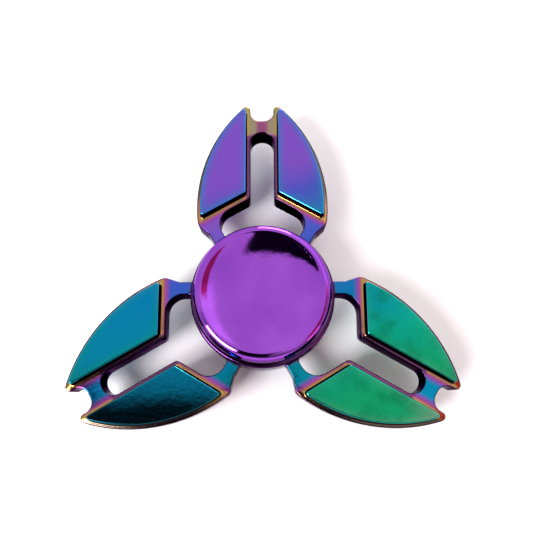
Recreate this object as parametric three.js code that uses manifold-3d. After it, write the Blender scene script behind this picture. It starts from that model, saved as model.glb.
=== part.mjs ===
// Three-arm fidget spinner: a die-cast frame with three pairs of claws, a 608 ball bearing in its hub
// and two dished finger caps. Millimetres, +Z along the spin axis, +Y along one arm, and the origin at
// the middle of the bearing.
import * as THREE from 'three'
import { mergeVertices } from 'three/addons/utils/BufferGeometryUtils.js'
import Module from 'manifold-3d'

// ---- Driving dimensions -------------------------------------------------------------------------

// 608 ball bearing
const BEARING_RADIUS = 11
const BORE_RADIUS = 4
const BEARING_WIDTH = 7
const BALL_COUNT = 7
const BALL_RADIUS = 3.969 / 2
const PITCH_RADIUS = 7.5
const GROOVE_RADIUS = 2.1
const INNER_LAND_RADIUS = 6.05
const OUTER_LAND_RADIUS = 9.15
const SHIELD_SEAT_RADIUS = 9.6
const SHIELD_SEAT_HEIGHT = 2.6
const SHIELD_THICKNESS = 0.25
const CAGE_SHEET = 0.28
const CAGE_HALF_WIDTH = 0.6
const RIVET_RADIUS = 0.3
const PRESS_GAP = 0.03
const RUNNING_GAP = 0.1
const EDGE_CHAMFER = 0.3
const SHIELD_RAISED_INSET = 0.6
const SHIELD_STEP_RUN = 0.2
const SHIELD_BORE_GAP = 0.25
const RIVET_HOLE_GAP = 0.05
const RIVET_HOLE_DEPTH = 2
const RIVET_HEAD_RADIUS = 0.57
const RIVET_CROWN_RADIUS = 0.46
const RIVET_EDGE_HEIGHT = 0.2
const RIVET_HEAD_HEIGHT = 0.28

// Frame, in the coordinates of one arm: u outwards from the spin axis, v across the arm
const ARM_COUNT = 3
const HUB_RADIUS = 13.2
const HUB_WIDTH = BEARING_WIDTH
const HUB_CHAMFER = 0.45
const WEB_THICKNESS = 4.8
const CLAW_THICKNESS = 8.2
const CLAW_CHAMFER = 0.35
const CLAW_TIP = { u: 37.9, v: 3.1 }
const CLAW_HEEL = { u: 19.8, v: 3.1 }
const CLAW_SHOULDER = { u: 15.0, v: 11.6 }
const CLAW_BACK_RADIUS = 27.8
const CLAW_CORNER_RADIUS = 0.45
const SLOT_LEDGE = 0.8
const BASE_LEDGE = 0.95
const BACK_LEDGE = 0.8
const BRIDGE_OUTER_EDGE = 35.5
const BRIDGE_INNER_EDGE = 32.9
const NOTCH_RADIUS = 1.9
const SLOT_END_RADIUS = 2.2
const TIP_RADIUS = 0.8
const HEEL_RADIUS = 1
const SHOULDER_RADIUS = 1.3
const WEB_SHOULDER_U = 13.9
const NECK_OUTER_BEND = { u: 12.0, v: 10.1 }
const NECK_BEND_RADIUS = 2.2
const NECK_INNER_RADIUS = 3.2
const NECK_INNER_SLOPE = THREE.MathUtils.degToRad(30)
const NECK_INNER_ANGLE = THREE.MathUtils.degToRad(31.5)
const NECK_OUTER_ANGLE = THREE.MathUtils.degToRad(42)
const NECK_ROOT_RADIUS = 0.6

// Finger caps and the stud that joins them
const CAP_RADIUS = 12.5
const CAP_BASE_HEIGHT = 4.1
const CAP_HEIGHT = 7.8
const RIM_OUTER_RADIUS = 11.45
const RIM_INNER_RADIUS = 10.85
const DISH_FLOOR_RADIUS = 9.5
const DISH_DEPTH = 1.2
const DISH_WALL_RUN = 0.6
const DISH_WALL_DROP = 0.9
const CAP_BASE_CHAMFER = 0.3
const CAP_WALL_HEIGHT = 0.4
const RIM_LIP = 0.2
const RIM_OUTER_ROUNDING = 0.15
const RIM_INNER_ROUNDING = 0.35
const BOSS_GAP = 0.1
const COLLAR_RADIUS = 5.9
const STUD_RADIUS = 1.5
const STUD_LENGTH = 6.2

// Facets
const ROUND_SEGMENTS = 48
const BEARING_SEGMENTS = 36
const CORNER_STEP = Math.PI / 10
const BACK_SEGMENTS = 10
const BALL_SEGMENTS = 12
const SMALL_SEGMENTS = 8
const GROOVE_STEPS = 4
const CAP_SHOULDER_STEPS = 4

// Colours
const PLATED = 0x3a62b4
const CAP_PURPLE = 0x8f4cc2
const STEEL = 0xb9bcc0
const CAGE_STEEL = 0x9a9488

// ---- Solids -------------------------------------------------------------------------------------

const wasm = await Module()
wasm.setup()

/** A copy of a geometry that holds only positions, with its shared vertices merged. */
function merged(geometry) {
  const bare = geometry.clone()
  bare.deleteAttribute('normal')
  bare.deleteAttribute('uv')
  return mergeVertices(bare, 1e-5)
}

/** Six times the signed volume of a closed indexed geometry. */
function signedVolume(geometry) {
  const position = geometry.getAttribute('position')
  const corners = [new THREE.Vector3(), new THREE.Vector3(), new THREE.Vector3()]
  let sum = 0
  for (let i = 0; i < geometry.index.count; i += 3) {
    corners.forEach((corner, k) => corner.fromBufferAttribute(position, geometry.index.getX(i + k)))
    sum += corners[0].dot(corners[1].clone().cross(corners[2]))
  }
  return sum
}

/** The same closed surface with its faces pointing out. */
function facingOut(geometry) {
  const solid = merged(geometry)
  if (signedVolume(solid) < 0) {
    const order = Array.from(solid.index.array)
    for (let i = 0; i < order.length; i += 3) {
      const first = order[i]
      order[i] = order[i + 2]
      order[i + 2] = first
    }
    solid.setIndex(order)
  }
  return solid
}

/** A manifold solid from a closed geometry. */
function toManifold(geometry) {
  const solid = facingOut(geometry)
  const vertProperties = new Float32Array(solid.getAttribute('position').array)
  const triVerts = new Uint32Array(solid.index.array)
  return new wasm.Manifold(new wasm.Mesh({ numProp: 3, vertProperties, triVerts }))
}

/** A three.js geometry from a manifold solid. */
function toGeometry(solid) {
  const mesh = solid.getMesh()
  const geometry = new THREE.BufferGeometry()
  geometry.setAttribute('position', new THREE.BufferAttribute(new Float32Array(mesh.vertProperties), 3))
  geometry.setIndex(new THREE.BufferAttribute(new Uint32Array(mesh.triVerts), 1))
  return geometry
}

/** A profile of [radius, height] pairs turned about the spin axis. */
function turned(profile, segments) {
  const points = profile.map(([radius, height]) => new THREE.Vector2(radius, height))
  const geometry = new THREE.LatheGeometry(points, segments)
  geometry.rotateX(Math.PI / 2)
  return facingOut(geometry)
}

/** A ring: a closed profile that doesn't touch the axis, turned about it. */
function turnedRing(profile, segments) {
  return turned([...profile, profile[0]], segments)
}

/** The same profile on the other side of the middle plane. */
function below(profile) {
  return profile.map(([radius, height]) => [radius, -height])
}

/** An outline extruded equally to both sides of the middle plane. */
function plate(outline, thickness, holes = []) {
  const shape = new THREE.Shape(outline)
  holes.forEach((hole) => shape.holes.push(new THREE.Path(hole)))
  const geometry = new THREE.ExtrudeGeometry(shape, { depth: thickness, bevelEnabled: false })
  geometry.translate(0, 0, -thickness / 2)
  return facingOut(geometry)
}

// ---- Outlines -----------------------------------------------------------------------------------

const point = (u, v) => new THREE.Vector2(u, v)

/** Closed outline through corners {at, radius}, each rounded by a tangent arc of its radius. */
function roundedOutline(corners) {
  const outline = []
  corners.forEach(({ at, radius = 0 }, i) => {
    if (radius === 0) {
      outline.push(at.clone())
      return
    }
    const before = corners[(i + corners.length - 1) % corners.length].at
    const after = corners[(i + 1) % corners.length].at
    const incoming = at.clone().sub(before).normalize()
    const outgoing = after.clone().sub(at).normalize()
    const turn = Math.atan2(incoming.cross(outgoing), incoming.dot(outgoing))
    const side = Math.sign(turn)
    const setback = radius * Math.tan(Math.abs(turn) / 2)
    const start = at.clone().addScaledVector(incoming, -setback)
    const centre = start.clone().add(point(-incoming.y, incoming.x).multiplyScalar(side * radius))
    const steps = Math.max(2, Math.ceil(Math.abs(turn) / CORNER_STEP))
    for (let k = 0; k <= steps; k++) {
      outline.push(start.clone().rotateAround(centre, (turn * k) / steps))
    }
  })
  return outline
}

/** Centre of the circle of a given radius through two points, on the side towards the arm's middle. */
function arcCentre(first, second, radius) {
  const half = second.clone().sub(first).multiplyScalar(0.5)
  const inwards = point(-half.y, half.x).normalize()
  const reach = Math.sqrt(radius ** 2 - half.lengthSq())
  return first.clone().add(half).addScaledVector(inwards, reach)
}

/** Points on an arc about a centre between two of its points, ends left out. */
function arcBetween(centre, first, second, steps) {
  const start = Math.atan2(first.y - centre.y, first.x - centre.x)
  const sweep = Math.atan2(second.y - centre.y, second.x - centre.x) - start
  const radius = first.distanceTo(centre)
  return Array.from({ length: steps - 1 }, (_, k) => {
    const angle = start + (sweep * (k + 1)) / steps
    return point(centre.x + radius * Math.cos(angle), centre.y + radius * Math.sin(angle))
  })
}

/** Point where two lines, each given by a point and a direction, meet. */
function meeting(first, firstWay, second, secondWay) {
  const share = second.clone().sub(first).cross(secondWay) / firstWay.cross(secondWay)
  return first.clone().addScaledVector(firstWay, share)
}

/** Point on the hub's outside at an angle from the arm's middle. */
function onHub(angle) {
  return point(HUB_RADIUS * Math.cos(angle), HUB_RADIUS * Math.sin(angle))
}

const tip = point(CLAW_TIP.u, CLAW_TIP.v)
const heel = point(CLAW_HEEL.u, CLAW_HEEL.v)
const shoulder = point(CLAW_SHOULDER.u, CLAW_SHOULDER.v)
const backCentre = arcCentre(tip, shoulder, CLAW_BACK_RADIUS)
const backRadius = CLAW_BACK_RADIUS + BACK_LEDGE
const baseWay = shoulder.clone().sub(heel).normalize()
const slotEdge = CLAW_HEEL.v - SLOT_LEDGE
const slotWay = point(-1, 0)

/** Corners of the raised claw, on the side where v is positive. */
function clawCorners() {
  const back = arcBetween(backCentre, tip, shoulder, BACK_SEGMENTS)
  return [
    { at: heel, radius: CLAW_CORNER_RADIUS },
    { at: tip, radius: CLAW_CORNER_RADIUS },
    ...back.map((at) => ({ at })),
    { at: shoulder, radius: CLAW_CORNER_RADIUS },
  ]
}

/** Corners of the frame's outside from a tip bridge back to the hub, where v is positive. */
function outsideCorners() {
  const webTipU = backCentre.x + Math.sqrt(backRadius ** 2 - (slotEdge - backCentre.y) ** 2)
  const webTip = point(webTipU, slotEdge)
  const shoulderV = backCentre.y + Math.sqrt(backRadius ** 2 - (WEB_SHOULDER_U - backCentre.x) ** 2)
  const webShoulder = point(WEB_SHOULDER_U, shoulderV)
  const back = arcBetween(backCentre, webTip, webShoulder, BACK_SEGMENTS)
  return [
    { at: point(BRIDGE_OUTER_EDGE, slotEdge), radius: NOTCH_RADIUS },
    { at: webTip, radius: TIP_RADIUS },
    ...back.map((at) => ({ at })),
    { at: webShoulder, radius: SHOULDER_RADIUS },
    { at: point(NECK_OUTER_BEND.u, NECK_OUTER_BEND.v), radius: NECK_BEND_RADIUS },
    { at: onHub(NECK_OUTER_ANGLE), radius: NECK_ROOT_RADIUS },
  ]
}

/** Corners of an arm's inner opening from the tip bridge back to the hub, where v is positive. */
function openingCorners() {
  const baseLine = heel.clone().addScaledVector(point(-baseWay.y, baseWay.x), BASE_LEDGE)
  const slotLine = point(0, slotEdge)
  const neckRoot = onHub(NECK_INNER_ANGLE)
  const neckWay = point(Math.cos(NECK_INNER_SLOPE), Math.sin(NECK_INNER_SLOPE))
  return [
    { at: point(BRIDGE_INNER_EDGE, slotEdge), radius: SLOT_END_RADIUS },
    { at: meeting(slotLine, slotWay, baseLine, baseWay), radius: HEEL_RADIUS },
    { at: meeting(neckRoot, neckWay, baseLine, baseWay), radius: NECK_INNER_RADIUS },
    { at: neckRoot, radius: NECK_ROOT_RADIUS },
  ]
}

/** The same corners on the other side of the arm's middle, in the opposite order. */
function mirrored(corners) {
  return corners.map(({ at, radius }) => ({ at: point(at.x, -at.y), radius })).reverse()
}

/** Corners along the hub's outside between two angles, ends left out. */
function hubCorners(from, to) {
  const steps = Math.round(Math.abs(to - from) / CORNER_STEP) * 2
  return Array.from({ length: steps - 1 }, (_, k) => ({ at: onHub(from + ((to - from) * (k + 1)) / steps) }))
}

/** An outline or its corners turned from arm coordinates to the frame's, for one arm. */
function onArm(points, arm) {
  const angle = Math.PI / 2 + (arm * 2 * Math.PI) / ARM_COUNT
  return points.map((at) => at.clone().rotateAround(point(0, 0), angle))
}

const arms = Array.from({ length: ARM_COUNT }, (_, arm) => arm)

/** Outside of the whole web: every arm in turn, joined by arcs of the hub. */
function webOutline() {
  const half = outsideCorners()
  const gap = hubCorners(NECK_OUTER_ANGLE, (2 * Math.PI) / ARM_COUNT - NECK_OUTER_ANGLE)
  const armCorners = [...mirrored(half), ...half, ...gap]
  const corners = arms.flatMap((arm) => {
    const places = onArm(armCorners.map(({ at }) => at), arm)
    return armCorners.map(({ radius }, i) => ({ at: places[i], radius }))
  })
  return roundedOutline(corners)
}

/** The opening inside one arm: slot, heels, armpits and the hub's outside. */
function armOpening(arm) {
  const half = openingCorners()
  const hub = hubCorners(NECK_INNER_ANGLE, -NECK_INNER_ANGLE)
  return onArm(roundedOutline([...mirrored(half), ...half, ...hub]), arm)
}

// ---- Frame --------------------------------------------------------------------------------------

/** One raised claw, through the web and chamfered along both of its top edges. */
function claw(arm, side) {
  const outline = roundedOutline(clawCorners()).map((at) => point(at.x, side * at.y))
  const depth = CLAW_THICKNESS - 2 * CLAW_CHAMFER
  const geometry = new THREE.ExtrudeGeometry(new THREE.Shape(onArm(outline, arm)), {
    depth,
    bevelThickness: CLAW_CHAMFER,
    bevelSize: CLAW_CHAMFER,
    bevelOffset: -CLAW_CHAMFER,
    bevelSegments: 1,
  })
  geometry.translate(0, 0, -depth / 2)
  return toManifold(geometry)
}

/** The one-piece frame: web, hub ring and six claws, bored for the bearing. */
function frame() {
  const half = HUB_WIDTH / 2
  const hubProfile = [
    [0, -half],
    [HUB_RADIUS - HUB_CHAMFER, -half],
    [HUB_RADIUS, -half + HUB_CHAMFER],
    [HUB_RADIUS, half - HUB_CHAMFER],
    [HUB_RADIUS - HUB_CHAMFER, half],
    [0, half],
  ]
  const boreRadius = BEARING_RADIUS + PRESS_GAP
  const mouthRadius = boreRadius + HUB_CHAMFER
  const boreProfile = [
    [0, -half - HUB_CHAMFER],
    [mouthRadius + HUB_CHAMFER, -half - HUB_CHAMFER],
    [boreRadius, -half + HUB_CHAMFER],
    [boreRadius, half - HUB_CHAMFER],
    [mouthRadius + HUB_CHAMFER, half + HUB_CHAMFER],
    [0, half + HUB_CHAMFER],
  ]
  let body = toManifold(plate(webOutline(), WEB_THICKNESS, arms.map(armOpening)))
  body = body.add(toManifold(turned(hubProfile, ROUND_SEGMENTS)))
  arms.forEach((arm) => {
    body = body.add(claw(arm, 1)).add(claw(arm, -1))
  })
  return toGeometry(body.subtract(toManifold(turned(boreProfile, BEARING_SEGMENTS))))
}

// ---- Bearing ------------------------------------------------------------------------------------

const bearingHalf = BEARING_WIDTH / 2

/** Groove points from the lower land to the upper one, on the side towards or away from the axis. */
function grooveProfile(landRadius) {
  const depth = landRadius - PITCH_RADIUS
  const reach = Math.acos(Math.abs(depth) / GROOVE_RADIUS)
  return Array.from({ length: GROOVE_STEPS + 1 }, (_, k) => {
    const angle = -reach + (2 * reach * k) / GROOVE_STEPS
    const across = Math.sign(depth) * GROOVE_RADIUS * Math.cos(angle)
    return [PITCH_RADIUS + across, GROOVE_RADIUS * Math.sin(angle)]
  })
}

/** The outer ring, with a race inside and a stepped seat for each shield. */
function outerRing() {
  const seat = [
    [OUTER_LAND_RADIUS, SHIELD_SEAT_HEIGHT],
    [SHIELD_SEAT_RADIUS, SHIELD_SEAT_HEIGHT],
    [SHIELD_SEAT_RADIUS, bearingHalf],
    [BEARING_RADIUS - EDGE_CHAMFER, bearingHalf],
    [BEARING_RADIUS, bearingHalf - EDGE_CHAMFER],
  ]
  const race = grooveProfile(OUTER_LAND_RADIUS)
  return turnedRing([...race, ...seat, ...below(seat).reverse()], BEARING_SEGMENTS)
}

/** The inner ring, with a race outside and a chamfered bore. */
function innerRing() {
  const side = [
    [INNER_LAND_RADIUS, bearingHalf],
    [BORE_RADIUS + EDGE_CHAMFER, bearingHalf],
    [BORE_RADIUS, bearingHalf - EDGE_CHAMFER],
  ]
  const race = grooveProfile(INNER_LAND_RADIUS)
  return turnedRing([...race, ...side, ...below(side).reverse()], BEARING_SEGMENTS)
}

/** A pressed dust shield: a flange in the outer ring's seat and a raised middle. */
function shieldProfile() {
  const low = SHIELD_SEAT_HEIGHT + PRESS_GAP
  const high = low + SHIELD_THICKNESS
  const flangeRadius = SHIELD_SEAT_RADIUS - PRESS_GAP
  const raisedRadius = OUTER_LAND_RADIUS - SHIELD_RAISED_INSET
  const innerRadius = INNER_LAND_RADIUS + SHIELD_BORE_GAP
  return [
    [flangeRadius, low],
    [flangeRadius, high],
    [raisedRadius + SHIELD_STEP_RUN, high],
    [raisedRadius, high + SHIELD_THICKNESS],
    [innerRadius, high + SHIELD_THICKNESS],
    [innerRadius, high],
    [raisedRadius - SHIELD_STEP_RUN, high],
    [raisedRadius, low],
  ]
}

/** Angle of a ball round the bearing; a whole number and a half gives the rivet between two balls. */
function stationAngle(index) {
  return Math.PI / 2 + (index * 2 * Math.PI) / BALL_COUNT
}

/** Places a geometry at the pitch radius, at an angle round the bearing. */
function atStation(geometry, index) {
  geometry.translate(PITCH_RADIUS, 0, 0)
  return geometry.rotateZ(stationAngle(index))
}

const balls = Array.from({ length: BALL_COUNT }, (_, index) => index)

/** Every ball's sphere of a given radius, joined into one solid. */
function ballSpheres(radius) {
  const spheres = balls.map((index) => {
    const sphere = new THREE.SphereGeometry(radius, BALL_SEGMENTS, BALL_SEGMENTS / 2)
    sphere.rotateX(Math.PI / 2)
    return toManifold(atStation(sphere, index))
  })
  return wasm.Manifold.union(spheres)
}

/** Half of the pressed ribbon cage, above the middle plane or below it. */
function cageHalf(side) {
  const gap = RUNNING_GAP / 2
  const reach = BALL_RADIUS + RUNNING_GAP + CAGE_SHEET
  const band = (low, high) => {
    const inner = PITCH_RADIUS - CAGE_HALF_WIDTH
    const outer = PITCH_RADIUS + CAGE_HALF_WIDTH
    const profile = [[inner, low], [outer, low], [outer, high], [inner, high]]
    return toManifold(turnedRing(side > 0 ? profile : below(profile), BEARING_SEGMENTS))
  }
  const pockets = ballSpheres(reach).intersect(band(gap, reach + CAGE_SHEET))
  const cavities = ballSpheres(BALL_RADIUS + RUNNING_GAP)
  const rivetHoles = wasm.Manifold.union(balls.map((index) => {
    const radius = RIVET_RADIUS + RIVET_HOLE_GAP
    const hole = new THREE.CylinderGeometry(radius, radius, RIVET_HOLE_DEPTH, SMALL_SEGMENTS)
    hole.rotateX(Math.PI / 2)
    return toManifold(atStation(hole, index + 0.5))
  }))
  const ribbon = band(gap, gap + CAGE_SHEET).add(pockets)
  return toGeometry(ribbon.subtract(cavities).subtract(rivetHoles))
}

/** A rivet: a shank through both cage halves with a low head on each side. */
function rivet(index) {
  const seat = RUNNING_GAP / 2 + CAGE_SHEET + PRESS_GAP
  const upper = [
    [RIVET_RADIUS, seat],
    [RIVET_HEAD_RADIUS, seat],
    [RIVET_CROWN_RADIUS, seat + RIVET_EDGE_HEIGHT],
    [0, seat + RIVET_HEAD_HEIGHT],
  ]
  const geometry = turned([...below(upper).reverse(), ...upper], SMALL_SEGMENTS)
  return atStation(geometry, index + 0.5)
}

// ---- Caps ---------------------------------------------------------------------------------------

/** A finger cap: dish, rim and shoulder outside, a collar and a hollow boss into the bore inside. */
function capProfile() {
  const studSocket = STUD_RADIUS + PRESS_GAP
  const bossRadius = BORE_RADIUS - PRESS_GAP
  const collarHeight = bearingHalf + PRESS_GAP
  const wallTop = CAP_BASE_HEIGHT + CAP_WALL_HEIGHT
  const shoulderRise = CAP_HEIGHT - RIM_LIP - wallTop
  const shoulderRun = CAP_RADIUS - RIM_OUTER_RADIUS
  const shoulderPoints = Array.from({ length: CAP_SHOULDER_STEPS }, (_, k) => {
    const angle = (Math.PI / 2) * (k / CAP_SHOULDER_STEPS)
    return [RIM_OUTER_RADIUS + shoulderRun * Math.cos(angle), wallTop + shoulderRise * Math.sin(angle)]
  })
  return [
    [0, STUD_LENGTH / 2 + RUNNING_GAP],
    [studSocket, STUD_LENGTH / 2 + RUNNING_GAP],
    [studSocket, BOSS_GAP],
    [bossRadius - EDGE_CHAMFER, BOSS_GAP],
    [bossRadius, BOSS_GAP + EDGE_CHAMFER],
    [bossRadius, collarHeight],
    [COLLAR_RADIUS, collarHeight],
    [COLLAR_RADIUS, CAP_BASE_HEIGHT],
    [CAP_RADIUS - CAP_BASE_CHAMFER, CAP_BASE_HEIGHT],
    ...shoulderPoints,
    [RIM_OUTER_RADIUS, CAP_HEIGHT - RIM_OUTER_ROUNDING],
    [RIM_OUTER_RADIUS - RIM_OUTER_ROUNDING, CAP_HEIGHT],
    [RIM_INNER_RADIUS, CAP_HEIGHT],
    [RIM_INNER_RADIUS - RIM_INNER_ROUNDING, CAP_HEIGHT - RIM_OUTER_ROUNDING],
    [DISH_FLOOR_RADIUS + DISH_WALL_RUN, CAP_HEIGHT - DISH_WALL_DROP],
    [DISH_FLOOR_RADIUS, CAP_HEIGHT - DISH_DEPTH],
    [0, CAP_HEIGHT - DISH_DEPTH],
  ]
}

/** The stud inside the two bosses. */
function stud() {
  const half = STUD_LENGTH / 2
  const end = [[STUD_RADIUS, half - EDGE_CHAMFER], [STUD_RADIUS - EDGE_CHAMFER, half], [0, half]]
  return turned([...below(end).reverse(), ...end], SMALL_SEGMENTS * 2)
}

// ---- Assembly -----------------------------------------------------------------------------------

/** One named piece with its own finish. */
function piece(name, geometry, color, roughness, metalness = 1) {
  const material = new THREE.MeshStandardMaterial({ color, roughness, metalness })
  const mesh = new THREE.Mesh(geometry, material)
  mesh.name = name
  return mesh
}

const group = new THREE.Group()
group.add(
  piece('frame', frame(), PLATED, 0.18),
  piece('cap_top', turned(capProfile(), ROUND_SEGMENTS), CAP_PURPLE, 0.06),
  piece('cap_bottom', turned(below(capProfile()), ROUND_SEGMENTS), CAP_PURPLE, 0.06),
  piece('cap_stud', stud(), STEEL, 0.35),
  piece('bearing_outer_ring', outerRing(), STEEL, 0.2),
  piece('bearing_inner_ring', innerRing(), STEEL, 0.2),
  piece('shield_upper', turnedRing(shieldProfile(), BEARING_SEGMENTS), STEEL, 0.3),
  piece('shield_lower', turnedRing(below(shieldProfile()), BEARING_SEGMENTS), STEEL, 0.3),
  piece('cage_upper', cageHalf(1), CAGE_STEEL, 0.4),
  piece('cage_lower', cageHalf(-1), CAGE_STEEL, 0.4),
)
balls.forEach((index) => {
  const sphere = new THREE.SphereGeometry(BALL_RADIUS, BALL_SEGMENTS, BALL_SEGMENTS / 2)
  sphere.rotateX(Math.PI / 2)
  group.add(piece(`ball_${index + 1}`, atStation(facingOut(sphere), index), STEEL, 0.05))
})
balls.forEach((index) => {
  group.add(piece(`cage_rivet_${index + 1}`, rivet(index), CAGE_STEEL, 0.4))
})

export default group
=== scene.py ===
"""Three-arm fidget spinner: plated claw frame, dished finger caps and a shielded ball bearing."""
import logging
import math
from dataclasses import dataclass
from enum import Enum
from typing import Optional, Sequence, Union

import bmesh
import bpy
import numpy as np
from mathutils import Matrix, Vector
from mathutils.geometry import delaunay_2d_cdt


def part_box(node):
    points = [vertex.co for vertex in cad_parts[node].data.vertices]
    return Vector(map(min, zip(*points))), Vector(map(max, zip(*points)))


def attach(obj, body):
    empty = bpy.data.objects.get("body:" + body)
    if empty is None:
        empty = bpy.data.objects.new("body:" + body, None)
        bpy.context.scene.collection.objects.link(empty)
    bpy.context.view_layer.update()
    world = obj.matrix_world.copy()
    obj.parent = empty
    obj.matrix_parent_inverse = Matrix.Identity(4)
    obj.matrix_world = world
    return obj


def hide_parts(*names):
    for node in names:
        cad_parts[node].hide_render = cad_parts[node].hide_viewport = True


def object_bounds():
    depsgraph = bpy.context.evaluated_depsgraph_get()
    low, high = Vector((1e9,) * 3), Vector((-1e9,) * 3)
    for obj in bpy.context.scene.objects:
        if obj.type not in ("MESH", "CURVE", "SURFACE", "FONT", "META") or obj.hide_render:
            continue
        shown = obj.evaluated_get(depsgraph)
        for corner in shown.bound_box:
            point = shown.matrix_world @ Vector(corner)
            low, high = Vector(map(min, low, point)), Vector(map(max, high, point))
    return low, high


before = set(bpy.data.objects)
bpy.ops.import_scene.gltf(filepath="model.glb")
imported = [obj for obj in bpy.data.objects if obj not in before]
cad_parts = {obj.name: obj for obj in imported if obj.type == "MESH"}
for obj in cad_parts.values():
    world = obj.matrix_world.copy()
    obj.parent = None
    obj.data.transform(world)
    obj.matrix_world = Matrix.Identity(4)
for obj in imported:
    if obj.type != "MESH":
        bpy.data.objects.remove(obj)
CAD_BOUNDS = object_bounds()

LOG = logging.getLogger("spinner")
MM = 0.001
ARMS = 3
ARM_ANGLES = tuple(math.pi / 2 + 2 * math.pi * arm / ARMS for arm in range(ARMS))
WELD = 0.002
FACING = "facing"
Profile = list[tuple[float, float]]
Colour = tuple[float, float, float, float]
Ring = list[bmesh.types.BMVert]


# ---- Node graphs --------------------------------------------------------------------------------


class Signal:
    """A node socket that carries a number and takes part in arithmetic."""

    def __init__(self, graph: "Graph", socket: bpy.types.NodeSocket) -> None:
        """Keeps the socket and the graph it belongs to."""
        self.graph = graph
        self.socket = socket

    def __add__(self, other: "Number") -> "Signal":
        """Sum."""
        return self.graph.maths("ADD", self, other)

    def __radd__(self, other: "Number") -> "Signal":
        """Sum, reflected."""
        return self.graph.maths("ADD", other, self)

    def __sub__(self, other: "Number") -> "Signal":
        """Difference."""
        return self.graph.maths("SUBTRACT", self, other)

    def __rsub__(self, other: "Number") -> "Signal":
        """Difference, reflected."""
        return self.graph.maths("SUBTRACT", other, self)

    def __mul__(self, other: "Number") -> "Signal":
        """Product."""
        return self.graph.maths("MULTIPLY", self, other)

    def __rmul__(self, other: "Number") -> "Signal":
        """Product, reflected."""
        return self.graph.maths("MULTIPLY", other, self)

    def __truediv__(self, other: "Number") -> "Signal":
        """Quotient."""
        return self.graph.maths("DIVIDE", self, other)

    def __rtruediv__(self, other: "Number") -> "Signal":
        """Quotient, reflected."""
        return self.graph.maths("DIVIDE", other, self)

    def __neg__(self) -> "Signal":
        """The value with its sign turned."""
        return self.graph.maths("MULTIPLY", self, -1.0)

    def __abs__(self) -> "Signal":
        """The size of the value."""
        return self.graph.maths("ABSOLUTE", self)

    def least(self, other: "Number") -> "Signal":
        """The smaller of two values."""
        return self.graph.maths("MINIMUM", self, other)

    def most(self, other: "Number") -> "Signal":
        """The larger of two values."""
        return self.graph.maths("MAXIMUM", self, other)

    def root(self) -> "Signal":
        """Square root of the value, or of zero where it is negative."""
        return self.graph.maths("SQRT", self.most(0.0))

    def step(self, low: float, high: float) -> "Signal":
        """A soft step over the value.

        Args:
            low: Where the step starts, at 0.
            high: Where the step ends, at 1. It may be below low.

        Returns:
            The step, from 0 to 1.
        """
        start, end = min(low, high), max(low, high)
        ends = (0.0, 1.0) if low < high else (1.0, 0.0)
        made = self.graph.node(
            "ShaderNodeMapRange",
            {"interpolation_type": "SMOOTHSTEP"},
            {0: self, 1: start, 2: end, 3: ends[0], 4: ends[1]},
        )
        return Signal(self.graph, made.outputs[0])


Number = Union[float, Signal]
Tint = Union[Colour, bpy.types.NodeSocket]
Input = Union[Number, Tint]
Setting = Union[str, int, float, Sequence[tuple[float, Colour]]]


class Graph:
    """A node tree that is written as expressions."""

    def __init__(self, tree: bpy.types.NodeTree) -> None:
        """Starts on an emptied tree."""
        self.tree = tree
        tree.nodes.clear()

    def node(
        self, kind: str, settings: dict[str, Setting], sockets: dict[Union[int, str], Input]
    ) -> bpy.types.Node:
        """Adds one node.

        Args:
            kind: The node's type.
            settings: Its properties, set first; "stops" holds a colour ramp's stops.
            sockets: A value or a link for each input, by index or name.

        Returns:
            The node.
        """
        made = self.tree.nodes.new(kind)
        for name, value in settings.items():
            if name == "stops":
                self._set_stops(made.color_ramp, value)
            else:
                setattr(made, name, value)
        for key, value in sockets.items():
            if isinstance(value, Signal):
                self.tree.links.new(value.socket, made.inputs[key])
            elif isinstance(value, bpy.types.NodeSocket):
                self.tree.links.new(value, made.inputs[key])
            else:
                made.inputs[key].default_value = value
        return made

    @staticmethod
    def _set_stops(ramp: bpy.types.ColorRamp, stops: Sequence[tuple[float, Colour]]) -> None:
        """Replaces a ramp's stops by (place, colour) pairs.

        Args:
            ramp: The ramp to fill.
            stops: (place, colour) pairs, in order.
        """
        while len(ramp.elements) > 1:
            ramp.elements.remove(ramp.elements[-1])
        ramp.elements[0].position, ramp.elements[0].color = stops[0]
        for place, colour in stops[1:]:
            ramp.elements.new(place).color = colour

    def maths(self, operation: str, first: Number, second: Number = 0.0) -> Signal:
        """One Math node as a signal."""
        made = self.node("ShaderNodeMath", {"operation": operation}, {0: first, 1: second})
        return Signal(self, made.outputs[0])

    def ramp(self, value: Number, stops: Sequence[tuple[float, Colour]]) -> bpy.types.NodeSocket:
        """A colour picked from stops by a value."""
        return self.node("ShaderNodeValToRGB", {"stops": stops}, {0: value}).outputs[0]

    def mix(self, share: Number, first: Tint, second: Tint) -> bpy.types.NodeSocket:
        """A colour between two, by a share from 0 to 1."""
        made = self.node("ShaderNodeMix", {"data_type": "RGBA"}, {0: share, 6: first, 7: second})
        return made.outputs[2]

    def noise(self, place: bpy.types.NodeSocket, scale: float, detail: float = 3.0) -> Signal:
        """Cloudy noise from 0 to 1 over a place vector.

        Args:
            place: The place vector.
            scale: Lumps per millimetre.
            detail: Finer layers added on top.

        Returns:
            The noise.
        """
        made = self.node(
            "ShaderNodeTexNoise", {}, {"Vector": place, "Scale": scale, "Detail": detail}
        )
        return Signal(self, made.outputs[0])


def paint(code: str) -> Colour:
    """A scene-linear colour from a hex code such as 8F4CC2.

    Args:
        code: Six hex digits.

    Returns:
        The colour, opaque.
    """
    channels = [int(code[i : i + 2], 16) / 255 for i in (0, 2, 4)]
    linear = [c / 12.92 if c <= 0.04045 else ((c + 0.055) / 1.055) ** 2.4 for c in channels]
    return (linear[0], linear[1], linear[2], 1.0)


# ---- Outlines in one arm's coordinates ----------------------------------------------------------


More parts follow.
